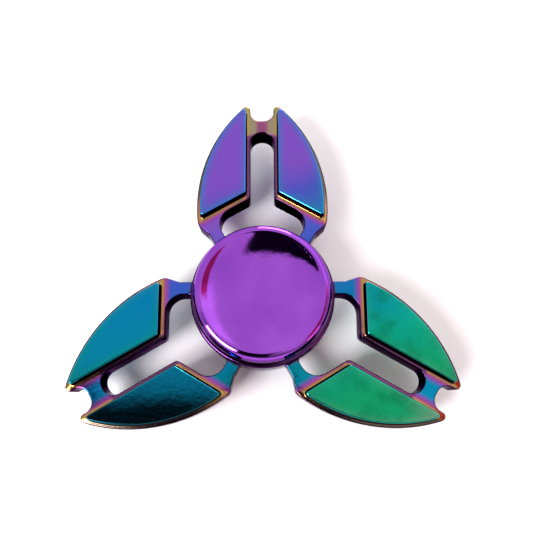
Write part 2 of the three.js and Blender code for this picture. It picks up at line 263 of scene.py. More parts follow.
@dataclass(frozen=True)
class Corner:
    """A corner of an outline and the radius that rounds it, in millimetres."""

    u: float
    v: float
    radius: float = 0.0

    @property
    def at(self) -> np.ndarray:
        """The corner's place."""
        return np.array([self.u, self.v])

    def flipped(self) -> "Corner":
        """The same corner on the other side of the arm's middle."""
        return Corner(self.u, -self.v, self.radius)

    def turned(self, angle: float) -> "Corner":
        """The corner turned about the spin axis."""
        place = spin(self.at[None, :], angle)[0]
        return Corner(float(place[0]), float(place[1]), self.radius)


def spin(points: np.ndarray, angle: float, centre: Sequence[float] = (0.0, 0.0)) -> np.ndarray:
    """Points turned about a centre by an angle.

    Args:
        points: The points, one a row.
        angle: The turn, in radians.
        centre: What they turn about.

    Returns:
        The turned points.
    """
    cos, sin = math.cos(angle), math.sin(angle)
    away = points - np.array(centre)
    return away @ np.array([[cos, sin], [-sin, cos]]) + np.array(centre)


def unit(vector: np.ndarray) -> np.ndarray:
    """The vector at length one."""
    return vector / np.linalg.norm(vector)


def cross(first: np.ndarray, second: np.ndarray) -> float:
    """Cross product of two plane vectors."""
    return float(first[0] * second[1] - first[1] * second[0])


def meeting(first: np.ndarray, way: np.ndarray, second: np.ndarray, other: np.ndarray) -> np.ndarray:
    """Point where two lines meet, each given by a point and a direction."""
    return first + way * (cross(second - first, other) / cross(way, other))


def past(corners: Sequence[Corner], start: int, way: int, distance: float) -> list[int]:
    """Steps along plain corners to the first that is rounded or lies past a distance.

    Args:
        corners: The closed outline's corners.
        start: The corner that the distance is measured from.
        way: 1 to step forwards, -1 to step back.
        distance: How far a plain corner must be to stop at it.

    Returns:
        Every index stepped on, the last being the one stopped at.
    """
    steps = [(start + way) % len(corners)]
    while corners[steps[-1]].radius == 0:
        if np.linalg.norm(corners[steps[-1]].at - corners[start].at) >= distance:
            break
        steps.append((steps[-1] + way) % len(corners))
    return steps


def rounded(corners: Sequence[Corner], step: float = math.radians(9)) -> np.ndarray:
    """Closed outline through corners, each rounded by a tangent arc.

    Args:
        corners: The corners in order.
        step: Largest turn between two points of an arc.

    Returns:
        The outline's points, anticlockwise.
    """
    arcs: dict[int, list[np.ndarray]] = {}
    covered: set[int] = set()
    for i, corner in enumerate(corners):
        if corner.radius == 0:
            continue
        coming = unit(corner.at - corners[past(corners, i, -1, 3 * corner.radius)[-1]].at)
        going = unit(corners[past(corners, i, 1, 3 * corner.radius)[-1]].at - corner.at)
        turn = math.atan2(cross(coming, going), float(coming @ going))
        setback = corner.radius * math.tan(abs(turn) / 2)
        start = corner.at - coming * setback
        side = math.copysign(corner.radius, turn)
        centre = start + np.array([-coming[1], coming[0]]) * side
        steps = max(2, math.ceil(abs(turn) / step))
        arcs[i] = [spin(start[None, :], turn * k / steps, centre)[0] for k in range(steps + 1)]
        for way in (-1, 1):
            covered.update(past(corners, i, way, setback + 0.1)[:-1])
    points: list[np.ndarray] = []
    for i, corner in enumerate(corners):
        if i not in covered:
            points += arcs.get(i, [corner.at])
    kept = [p for i, p in enumerate(points) if np.linalg.norm(p - points[i - 1]) > 5 * WELD]
    outline = np.array(kept)
    following = np.roll(outline, -1, axis=0)
    area = np.sum(outline[:, 0] * following[:, 1] - outline[:, 1] * following[:, 0])
    return outline if area > 0 else outline[::-1].copy()


def grown(outline: np.ndarray, distance: float) -> np.ndarray:
    """An anticlockwise outline moved outwards by a distance, point for point.

    Args:
        outline: The outline's points.
        distance: How far out, negative for inwards.

    Returns:
        The moved points.
    """
    edges = np.roll(outline, -1, axis=0) - outline
    normals = np.stack([edges[:, 1], -edges[:, 0]], axis=1)
    normals /= np.linalg.norm(normals, axis=1, keepdims=True)
    before = np.roll(normals, 1, axis=0)
    spread = 1 + np.sum(normals * before, axis=1, keepdims=True)
    return outline + distance * (normals + before) / spread


def inside(points: np.ndarray, loop: np.ndarray) -> np.ndarray:
    """Whether each point lies inside a closed loop.

    Args:
        points: The points, one a row.
        loop: The loop's points.

    Returns:
        One truth value a point.
    """
    a, b = loop, np.roll(loop, -1, axis=0)
    x, y = points[:, :1], points[:, 1:]
    spans = (a[:, 1] > y) != (b[:, 1] > y)
    rise = np.where(b[:, 1] == a[:, 1], 1e-12, b[:, 1] - a[:, 1])
    crossing = a[:, 0] + (y - a[:, 1]) * (b[:, 0] - a[:, 0]) / rise
    return (np.sum(spans & (x < crossing), axis=1) % 2) == 1


def quarter(radius: float, steps: int) -> list[tuple[float, float]]:
    """(run, drop) pairs along a quarter round from its flat to its wall."""
    angles = [math.pi / 2 * k / steps for k in range(steps + 1)]
    return [(radius * math.sin(a), radius * (1 - math.cos(a))) for a in angles]


def mirrored(profile: Profile) -> Profile:
    """The rest of a profile whose lower half mirrors its upper half."""
    return [(radius, -height) for radius, height in reversed(profile)]


# ---- Mesh making --------------------------------------------------------------------------------


class Stock:
    """A mesh under construction, in millimetres."""

    def __init__(self) -> None:
        """Starts with nothing."""
        self.mesh = bmesh.new()

    def ring(self, outline: np.ndarray, height: float) -> Ring:
        """Vertices of an outline at a height."""
        return [self.mesh.verts.new((float(x), float(y), height)) for x, y in outline]

    def skin(self, first: Ring, second: Ring, closed: bool = True) -> None:
        """Quads between two rings with the same number of vertices.

        Args:
            first: The ring on the left of the way round.
            second: The other ring.
            closed: Whether the rings close on themselves.
        """
        last = len(first) if closed else len(first) - 1
        for i in range(last):
            j = (i + 1) % len(first)
            self.mesh.faces.new((first[i], first[j], second[j], second[i]))

    def fill(self, outer: np.ndarray, holes: Sequence[np.ndarray], height: float) -> None:
        """Flat faces inside an outline and outside its holes.

        Args:
            outer: The outline.
            holes: Outlines of the holes.
            height: The faces' height.
        """
        coords: list[Vector] = []
        edges: list[tuple[int, int]] = []
        for loop in (outer, *holes):
            start = len(coords)
            coords += [Vector((float(x), float(y))) for x, y in loop]
            edges += [(start + i, start + (i + 1) % len(loop)) for i in range(len(loop))]
        places, _, faces, *_ = delaunay_2d_cdt(coords, edges, [], 0, 1e-6)
        flat = np.array([tuple(place) for place in places])
        middles = np.array([flat[list(face)].mean(axis=0) for face in faces])
        keep = inside(middles, outer)
        for hole in holes:
            keep &= ~inside(middles, hole)
        verts = self.ring(flat, height)
        for face, kept in zip(faces, keep):
            if kept:
                self.mesh.faces.new([verts[i] for i in face])

    def mirror_below(self) -> None:
        """Adds the same surface below the middle plane."""
        source = self.mesh.verts[:] + self.mesh.edges[:] + self.mesh.faces[:]
        copied = bmesh.ops.duplicate(self.mesh, geom=source)["geom"]
        verts = [item for item in copied if isinstance(item, bmesh.types.BMVert)]
        faces = [item for item in copied if isinstance(item, bmesh.types.BMFace)]
        bmesh.ops.scale(self.mesh, vec=(1, 1, -1), verts=verts)
        bmesh.ops.reverse_faces(self.mesh, faces=faces)

    def part(self, name: str, closed: bool = True) -> bpy.types.Object:
        """Welds the mesh and makes an object of it at real size.

        Args:
            name: The object's name.
            closed: Whether the surface is closed, so its faces can be turned outwards.

        Returns:
            The object.
        """
        bmesh.ops.remove_doubles(self.mesh, verts=self.mesh.verts[:], dist=WELD)
        loose = [v for v in self.mesh.verts if not v.link_faces]
        bmesh.ops.delete(self.mesh, geom=loose, context="VERTS")
        if closed:
            bmesh.ops.recalc_face_normals(self.mesh, faces=self.mesh.faces[:])
        bmesh.ops.scale(self.mesh, vec=(MM, MM, MM), verts=self.mesh.verts[:])
        data = bpy.data.meshes.new(name)
        self.mesh.to_mesh(data)
        self.mesh.free()
        return placed(name, data)


def placed(name: str, data: bpy.types.Mesh) -> bpy.types.Object:
    """An object with this mesh, linked to the scene.

    Args:
        name: The object's name.
        data: Its mesh.

    Returns:
        The object.
    """
    made = bpy.data.objects.new(name, data)
    bpy.context.scene.collection.objects.link(made)
    return made


def settled(made: bpy.types.Object, name: str) -> bpy.types.Object:
    """The object as a plain mesh, with its modifiers worked in and removed.

    Args:
        made: The object, which is removed.
        name: The new object's name.

    Returns:
        The plain object.
    """
    bpy.context.view_layer.update()
    whole = made.evaluated_get(bpy.context.evaluated_depsgraph_get())
    data = bpy.data.meshes.new_from_object(whole)
    bpy.data.objects.remove(made, do_unlink=True)
    data.name = name
    return placed(name, data)


def shaded(made: bpy.types.Object, crease: float = 38.0) -> bpy.types.Object:
    """Smooth shading with sharp edges past an angle, and flats kept flat up to their roundings.

    Each corner also keeps how level its surface lies, for the finishes to read.

    Args:
        made: The object, which is removed.
        crease: The angle, in degrees.

    Returns:
        The shaded object.
    """
    body = bmesh.new()
    body.from_mesh(made.data)
    limit = math.radians(crease)
    for edge in body.edges:
        edge.smooth = edge.is_manifold and edge.calc_face_angle(0.0) < limit
    for face in body.faces:
        face.smooth = True
    body.to_mesh(made.data)
    body.free()
    weights = made.modifiers.new("flats", "WEIGHTED_NORMAL")
    weights.keep_sharp = True
    weights.weight = 100
    whole = settled(made, made.name)
    data = whole.data
    level = data.attributes.get(FACING) or data.attributes.new(FACING, "FLOAT", "CORNER")
    level.data.foreach_set("value", [abs(corner.vector.z) for corner in data.corner_normals])
    return whole


def lathed(name: str, profile: Profile, segments: int, ring: bool = False) -> bpy.types.Object:
    """Turns a profile of (radius, height) pairs about the spin axis.

    Args:
        name: The object's name.
        profile: The profile, from axis to axis, or all the way round for a ring.
        segments: Number of steps in the turn.
        ring: Whether the profile closes on itself instead of on the axis.

    Returns:
        The turned piece, shaded.
    """
    stock = Stock()
    angles = np.arange(segments) * 2 * math.pi / segments
    circle = np.stack([np.cos(angles), np.sin(angles)], axis=1)
    rings = [stock.ring(circle * max(radius, 0.0), height) for radius, height in profile]
    for first, second in zip(rings, rings[1:] + rings[:1] if ring else rings[1:]):
        stock.skin(first, second)
    return shaded(stock.part(name))


# ---- Repeating with geometry nodes --------------------------------------------------------------


@dataclass(frozen=True)
class RoundRepeat:
    """Repeats a piece in equal steps round the spin axis."""

    name: str
    count: int
    weld: float = WELD * MM

    def tree(self) -> tuple[bpy.types.GeometryNodeTree, dict[str, str]]:
        """Builds the node tree.

        Returns:
            The tree, and the identifier of each of its named inputs.
        """
        tree = bpy.data.node_groups.new(self.name, "GeometryNodeTree")
        tree.is_modifier = True
        new = tree.interface.new_socket
        new("Geometry", in_out="INPUT", socket_type="NodeSocketGeometry")
        sockets = {
            "Count": new("Count", in_out="INPUT", socket_type="NodeSocketInt"),
            "Weld": new("Weld", in_out="INPUT", socket_type="NodeSocketFloat"),
            "Finish": new("Finish", in_out="INPUT", socket_type="NodeSocketMaterial"),
        }
        new("Geometry", in_out="OUTPUT", socket_type="NodeSocketGeometry")
        graph = Graph(tree)
        given = graph.node("NodeGroupInput", {}, {}).outputs
        index = Signal(graph, graph.node("GeometryNodeInputIndex", {}, {}).outputs[0])
        points = graph.node("GeometryNodePoints", {}, {"Count": given["Count"]})
        turn = index * (2 * math.pi) / Signal(graph, given["Count"])
        angles = graph.node("ShaderNodeCombineXYZ", {}, {2: turn})
        rotation = graph.node("FunctionNodeEulerToRotation", {}, {0: angles.outputs[0]})
        copies = graph.node(
            "GeometryNodeInstanceOnPoints",
            {},
            {"Points": points.outputs[0], "Instance": given["Geometry"], "Rotation": rotation.outputs[0]},
        )
        real = graph.node("GeometryNodeRealizeInstances", {}, {0: copies.outputs[0]})
        welded = graph.node(
            "GeometryNodeMergeByDistance", {}, {"Geometry": real.outputs[0], "Distance": given["Weld"]}
        )
        dressed = graph.node(
            "GeometryNodeSetMaterial", {}, {"Geometry": welded.outputs[0], "Material": given["Finish"]}
        )
        graph.node("NodeGroupOutput", {}, {0: dressed.outputs[0]})
        return tree, {name: socket.identifier for name, socket in sockets.items()}

    def apply(self, made: bpy.types.Object, finish: bpy.types.Material) -> bpy.types.Object:
        """Repeats an object and returns the copies as one plain mesh.

        Args:
            made: The object to repeat.
            finish: The copies' material.

        Returns:
            The object.
        """
        tree, inputs = self.tree()
        modifier = made.modifiers.new(self.name, "NODES")
        modifier.node_group = tree
        modifier[inputs["Count"]] = self.count
        modifier[inputs["Weld"]] = self.weld
        modifier[inputs["Finish"]] = finish
        return settled(made, made.name)


@dataclass(frozen=True)
class BallMaker:
    """Makes a bearing ball at its place from a node tree."""

    name: str
    radius: float
    place: tuple[float, float, float]

    def tree(self) -> tuple[bpy.types.GeometryNodeTree, dict[str, str]]:
        """Builds the node tree.

        Returns:
            The tree, and the identifier of each of its named inputs.
        """
        tree = bpy.data.node_groups.new("bearing_ball", "GeometryNodeTree")
        tree.is_modifier = True
        new = tree.interface.new_socket
        sockets = {
            "Radius": new("Radius", in_out="INPUT", socket_type="NodeSocketFloat"),
            "Place": new("Place", in_out="INPUT", socket_type="NodeSocketVector"),
            "Finish": new("Finish", in_out="INPUT", socket_type="NodeSocketMaterial"),
        }
        new("Geometry", in_out="OUTPUT", socket_type="NodeSocketGeometry")
        graph = Graph(tree)
        given = graph.node("NodeGroupInput", {}, {}).outputs
        sphere = graph.node(
            "GeometryNodeMeshIcoSphere", {}, {"Radius": given["Radius"], "Subdivisions": 5}
        )
        moved = graph.node(
            "GeometryNodeTransform", {}, {"Geometry": sphere.outputs[0], "Translation": given["Place"]}
        )
        smooth = graph.node("GeometryNodeSetShadeSmooth", {}, {0: moved.outputs[0]})
        real = graph.node("GeometryNodeRealizeInstances", {}, {0: smooth.outputs[0]})
        dressed = graph.node(
            "GeometryNodeSetMaterial", {}, {"Geometry": real.outputs[0], "Material": given["Finish"]}
        )
        graph.node("NodeGroupOutput", {}, {0: dressed.outputs[0]})
        return tree, {name: socket.identifier for name, socket in sockets.items()}

    def make(self, finish: bpy.types.Material) -> bpy.types.Object:
        """The ball as a plain mesh.

        Args:
            finish: The ball's material.

        Returns:
            The object.
        """
        tree, inputs = self.tree()
        made = placed(self.name, bpy.data.meshes.new(self.name))
        modifier = made.modifiers.new(self.name, "NODES")
        modifier.node_group = tree
        modifier[inputs["Radius"]] = self.radius
        modifier[inputs["Place"]] = self.place
        modifier[inputs["Finish"]] = finish
        return settled(made, self.name)


# ---- Finishes -----------------------------------------------------------------------------------


class Grade(Enum):
    """How the bearing's steel is worked."""

    GROUND = "ground"
    PRESSED = "pressed"
    POLISHED = "polished"


@dataclass(frozen=True)
class Surface:
    """A metal surface's node tree with its shader and the place of each point in millimetres."""

    material: bpy.types.Material
    graph: Graph
    shader: bpy.types.Node
    place: bpy.types.NodeSocket
    x: Signal
    y: Signal
    z: Signal

    @classmethod
    def start(
        cls, name: str, metallic: float = 1.0, edge_tint: tuple[float, float, float] = (1.0, 1.0, 1.0)
    ) -> "Surface":
        """Makes a material with a shader wired to its output.

        Args:
            name: The material's name.
            metallic: 1 for bare or plated metal, 0 for anything else.
            edge_tint: Colour of the metal's reflection near grazing angles.

        Returns:
            The surface, ready to be dressed.
        """
        material = bpy.data.materials.new(name)
        material.use_nodes = True
        graph = Graph(material.node_tree)
        shader = graph.node(
            "ShaderNodeBsdfPrincipled", {}, {"Metallic": metallic, "Specular Tint": (*edge_tint, 1.0)}
        )
        graph.node("ShaderNodeOutputMaterial", {}, {0: shader.outputs[0]})
        spot = graph.node("ShaderNodeTexCoord", {}, {})
        scaled = graph.node(
            "ShaderNodeVectorMath", {"operation": "SCALE"}, {0: spot.outputs["Object"], "Scale": 1 / MM}
        )
        parts = graph.node("ShaderNodeSeparateXYZ", {}, {0: scaled.outputs[0]}).outputs
        x, y, z = (Signal(graph, parts[axis]) for axis in range(3))
        return cls(material, graph, shader, scaled.outputs[0], x, y, z)

    def facing(self) -> Signal:
        """How level the surface lies at each corner, from 0 on a wall to 1 on a flat."""
        level = self.graph.node("ShaderNodeAttribute", {"attribute_name": FACING}, {})
        return Signal(self.graph, level.outputs["Fac"])

    def dress(
        self, colour: bpy.types.NodeSocket, roughness: Number, height: Optional[Signal], depth: float
    ) -> None:
        """Wires a colour, a roughness and a bump to the shader.

        Args:
            colour: The base colour.
            roughness: The roughness, from 0 to 1.
            height: The bump's height, or None for a flat surface.
            depth: The bump's depth in metres.
        """
        links = self.graph.tree.links
        links.new(colour, self.shader.inputs["Base Color"])
        if isinstance(roughness, Signal):
            links.new(roughness.socket, self.shader.inputs["Roughness"])
        else:
            self.shader.inputs["Roughness"].default_value = roughness
        if height is not None:
            bump = self.graph.node(
                "ShaderNodeBump", {}, {"Strength": 1.0, "Distance": depth, "Height": height}
            )
            links.new(bump.outputs[0], self.shader.inputs["Normal"])


@dataclass(frozen=True)
class RainbowPlating:
    """Interference plating on the cast frame, violet through blue to green, gold at the claws' feet, with
    painted shade on its walls and edges, painted highlights on the claws' edges and a painted dark
    reflection on one claw.
    """

    outline: "ArmOutline"
    claw_top: float
    web_top: float
    hub_radius: float
    sweep_start: float = 24.0
    sweep_length: float = 54.6
    sweep_slant: float = 156.0
    sweep_cloud: float = 0.092
    bump_depth: float = 0.008

    def material(self) -> bpy.types.Material:
        """Builds the plating.

        Returns:
            The material.
        """
        s = Surface.start("rainbow_plating", edge_tint=(0.3, 0.22, 0.34))
        g = s.graph
        reach, side = self._arm_place(s)
        depth, base = self._claw_depth(s, reach, side)
        cloud = g.noise(s.place, 0.22)
        sweep = (self.sweep_start - s.y) / self.sweep_length + s.x / self.sweep_slant
        sweep = sweep + (cloud - 0.5) * self.sweep_cloud
        near_edge = (0.05 - depth).step(-1.7, 0.3) * 0.75
        claw = g.mix(near_edge, self._claw_face(g, sweep), self._claw_rim(g, sweep))
        mottle = g.noise(s.place, 0.3, 8.0).step(0.42, 0.7) * s.x.step(4.0, 22.0)
        claw = g.mix(mottle * 0.5, claw, paint("0E7048"))
        # deep is the painted dark reflection on one claw.
        claw, deep = self._one_claw_and_painted_reflection(s, claw, cloud)
        web = self._web_face(s, sweep, depth, reach, side)
        raised = abs(s.z).step(self.web_top + 0.6, self.claw_top - 0.35)
        flat = g.mix(raised, web, claw)
        facing = s.facing()
        turning = facing.step(0.99, 0.86)
        span = self.outline.bridge_inner
        bridge = reach.step(span - 1.3, span - 0.1) * side.step(3.5, 3.2) * s.y.step(25.0, 28.0)
        golden = base.step(0.3, -0.05).most(bridge)
        foot = g.mix(golden, paint("4A2244"), paint("96703C"))
        # Painted shade: the web's rounded edges away from the claws' feet turn near black.
        foot = g.mix(depth.step(-0.52, -0.34), paint("24102C"), foot)
        # Painted highlight: the claws' rounded top edges turn bright blue to cyan, darker where the painted
        # dark reflection lies.
        painted_edge_highlight = g.ramp(sweep, [(0.0, paint("3F98E8")), (1.0, paint("30C8B0"))])
        edge = g.mix(raised, foot, g.mix(deep * 0.75, painted_edge_highlight, paint("0A3038")))
        rim = g.mix(turning * 0.85, flat, edge)
        # Painted shade: walls turn near black by how they face, with a painted purple sheen towards the
        # web's top and bottom and a little random tone.
        wall = g.mix(raised, paint("16140E"), paint("120810"))
        painted_wall_sheen = abs(s.z).step(0.6, self.web_top) * (1.0 - raised)
        wall = g.mix(painted_wall_sheen * 0.55 + g.noise(s.place, 0.5) * 0.12, wall, paint("4A1C3E"))
        # Steep faces take the painted wall shade.
        whole = g.mix(facing.step(0.62, 0.3), rim, wall)
        radius = (s.x * s.x + s.y * s.y).root()
        whole = g.mix(radius.step(self.hub_radius + 0.5, self.hub_radius), whole, paint("4C2858"))
        grain = g.noise(s.place, 1.4, 2.0)
        peel = g.noise(s.place, 1.1, 2.0) * deep * raised * 1.8
        bump = grain + peel + g.noise(s.place, 9.0) * 0.15
        s.dress(whole, 0.09 + grain * 0.08, bump, self.bump_depth * MM)
        return s.material

    def _arm_place(self, s: Surface) -> tuple[Signal, Signal]:
        """Distance out along the nearest arm, and across it.

        Args:
            s: The surface.

        Returns:
            Both distances, in millimetres.
        """
        outs = [s.x * math.cos(a) + s.y * math.sin(a) for a in ARM_ANGLES]
        reach = outs[0].most(outs[1]).most(outs[2])
        side = (s.x * s.x + s.y * s.y - reach * reach).root()
        return reach, side

    def _claw_depth(self, s: Surface, reach: Signal, side: Signal) -> tuple[Signal, Signal]:
        """How deep a point lies inside the claw's outline, negative outside it.

        Args:
            s: The surface, not used.
            reach: Distance out along the arm.
            side: Distance across it.

        Returns:
            The depth, and the depth inside the base edge alone.
        """
        heel, way, centre = self.outline.heel, self.outline.base_way, self.outline.back_centre
        slot = side - float(heel[1])
        base = (reach - float(heel[0])) * float(way[1]) - (side - float(heel[1])) * float(way[0])
        du, dv = reach - float(centre[0]), side - float(centre[1])
        back = self.outline.back_radius - (du * du + dv * dv).root()
        return slot.least(base).least(back), base

    def _claw_face(self, g: Graph, sweep: Signal) -> bpy.types.NodeSocket:
        """Colour of the claws' flat tops.

        Args:
            g: The node graph.
            sweep: Share of the way from the first arm's tip to the last claw.

        Returns:
            The colour.
        """
        stops = [(0.0, "7F50BF"), (0.12, "4C55BE"), (0.27, "0A7AB0"), (0.54, "0A869C")]
        stops += [(0.7, "0C9C84"), (0.88, "169C68")]
        return g.ramp(sweep, [(place, paint(code)) for place, code in stops])

    def _claw_rim(self, g: Graph, sweep: Signal) -> bpy.types.NodeSocket:
        """Colour that the claws' tops fade to along their edges."""
        stops = [(0.0, "3A6FC0"), (0.4, "0A8A88"), (0.75, "1FA07A"), (1.0, "4FA078")]
        return g.ramp(sweep, [(place, paint(code)) for place, code in stops])

    def _one_claw_and_painted_reflection(
        self, s: Surface, claw: bpy.types.NodeSocket, cloud: Signal
    ) -> tuple[bpy.types.NodeSocket, Signal]:
        """Gives one claw its teal, paints a dark reflection on it towards its back, and greys the tip of
        its neighbour.

        Args:
            s: The surface.
            claw: The claws' colour.
            cloud: Slow noise that breaks the edges up.

        Returns:
            The new colour, and how strong the painted dark reflection on the one claw is at each point.
        """
        left, right = ARM_ANGLES[1], ARM_ANGLES[2]
        out = s.x * math.cos(left) + s.y * math.sin(left)
        over = s.y * math.cos(left) - s.x * math.sin(left)
        this = out.step(13.5, 14.5) * over.step(2.6, 3.2)
        peel = (s.graph.noise(s.place, 1.1) - 0.5) * 2.0 + (cloud - 0.5) * 3.0
        # Painted reflection: a dark patch towards the claw's back, broken up by noise.
        deep = this * (over + (out - 26.0) * 0.55 + peel).step(4.2, 8.6)
        claw = s.graph.mix(this * 0.9, claw, paint("0A6C92"))
        claw = s.graph.mix(deep * 0.9, claw, paint("08121E"))
        out = s.x * math.cos(right) + s.y * math.sin(right)
        over = s.y * math.cos(right) - s.x * math.sin(right)
        tip = (out + (cloud - 0.5) * 6.0).step(31.0, 40.0) * over.step(-2.0, -3.0)
        return s.graph.mix(tip * 0.5, claw, paint("A08890")), deep

    def _web_face(
        self, s: Surface, sweep: Signal, depth: Signal, reach: Signal, side: Signal
    ) -> bpy.types.NodeSocket:
        """Colour of the thin web: gold beside the claws, then magenta and violet, then blue.

        Args:
            s: The surface.
            sweep: Share of the way from the first arm's tip to the last claw.
            depth: How deep a point lies inside the claw.
            reach: Distance out along the arm.
            side: Distance across it.

        Returns:
            The colour.
        """
        g = s.graph
        away = (-depth) / 5.0
        stops = [(0.0, "94507A"), (0.1, "8A50B8"), (0.22, "5F5AC8"), (0.3, "3A58BC"), (0.42, "2E62B8")]
        stops += [(0.57, "0678A8"), (0.62, "0878A0"), (0.68, "0A7E8C"), (0.76, "0C84A0"), (1.0, "0A8CB8")]
        far = g.ramp(sweep, [(place, paint(code)) for place, code in stops])
        bands = [(0.06, "B0904C"), (0.11, "A8685C"), (0.18, "A04C98"), (0.3, "7A48B4")]
        near = g.ramp(away, [(place, paint(code)) for place, code in bands])
        face = g.mix(away.step(0.2, 0.42), near, far)
        span = self.outline.bridge_inner
        in_slot = side.step(3.2, 3.0) * reach.step(span - 0.3, span - 1.1) * reach.step(18.5, 19.5)
        face = g.mix(in_slot * 0.85, face, paint("5A2A66"))
        heel = self.outline.heel
        past_back = (reach - float(heel[0])).step(-3.0, 1.0) * (side - float(heel[1])).step(0.3, 1.2)
        face = g.mix(past_back * 0.8, face, paint("3C4440"))
        bridge = s.y.step(span - 0.9, span + 0.1) * side.step(3.5, 3.2) * side.step(0.6, 1.5)
        return g.mix(bridge * 0.7, face, paint("A09C58"))


@dataclass(frozen=True)
class PurplePlating:
    """Mirror-bright purple plating on the finger caps, with painted shade on their steep faces and
    shoulders.
    """

    rim_radius: float
    cap_radius: float

    def material(self) -> bpy.types.Material:
        """Builds the plating.

        Returns:
            The material.
        """
        s = Surface.start("purple_plating", edge_tint=(0.7, 0.5, 0.8))
        g = s.graph
        radius = (s.x * s.x + s.y * s.y).root()
        cloud = g.noise(s.place, 0.12)
        face = g.ramp(cloud, [(0.3, paint("8E44BE")), (0.7, paint("A254D0"))])
        # Painted shade: steep faces turn dark purple.
        wall = g.mix(s.facing().step(0.45, 0.15), face, paint("3C1450"))
        # Painted shade: the shoulder past the rim is darkened.
        outside = radius.step(self.rim_radius, self.cap_radius)
        whole = g.mix(outside * 0.45, wall, paint("5E2A78"))
        fine = g.noise(s.place, 3.0, 2.0)
        s.dress(whole, 0.035 + fine * 0.025, cloud + fine * 0.05, 0.08 * MM)
        return s.material


@dataclass(frozen=True)
class Steel:
    """Bearing steel in one of its grades."""

    grade: Grade
    tint: str
    roughness: float

    def material(self) -> bpy.types.Material:
        """Builds the steel, with turning marks on ground faces and a mottle on the rest.

        Returns:
            The material.
        """
        s = Surface.start(f"steel_{self.grade.value}_{self.tint.lower()}")
        g = s.graph
        radius = (s.x * s.x + s.y * s.y).root()
        rings = g.maths("SINE", radius * 42.0) * 0.5 + 0.5
        mottle = g.noise(s.place, 2.2)
        mark = rings if self.grade is Grade.GROUND else mottle
        base = paint(self.tint)
        dark = (base[0] * 0.7, base[1] * 0.7, base[2] * 0.7, 1.0)
        s.dress(g.mix(mottle.step(0.35, 0.7), dark, base), self.roughness + mark * 0.12, mark, 0.004 * MM)
        return s.material


# ---- Claw frame ---------------------------------------------------------------------------------


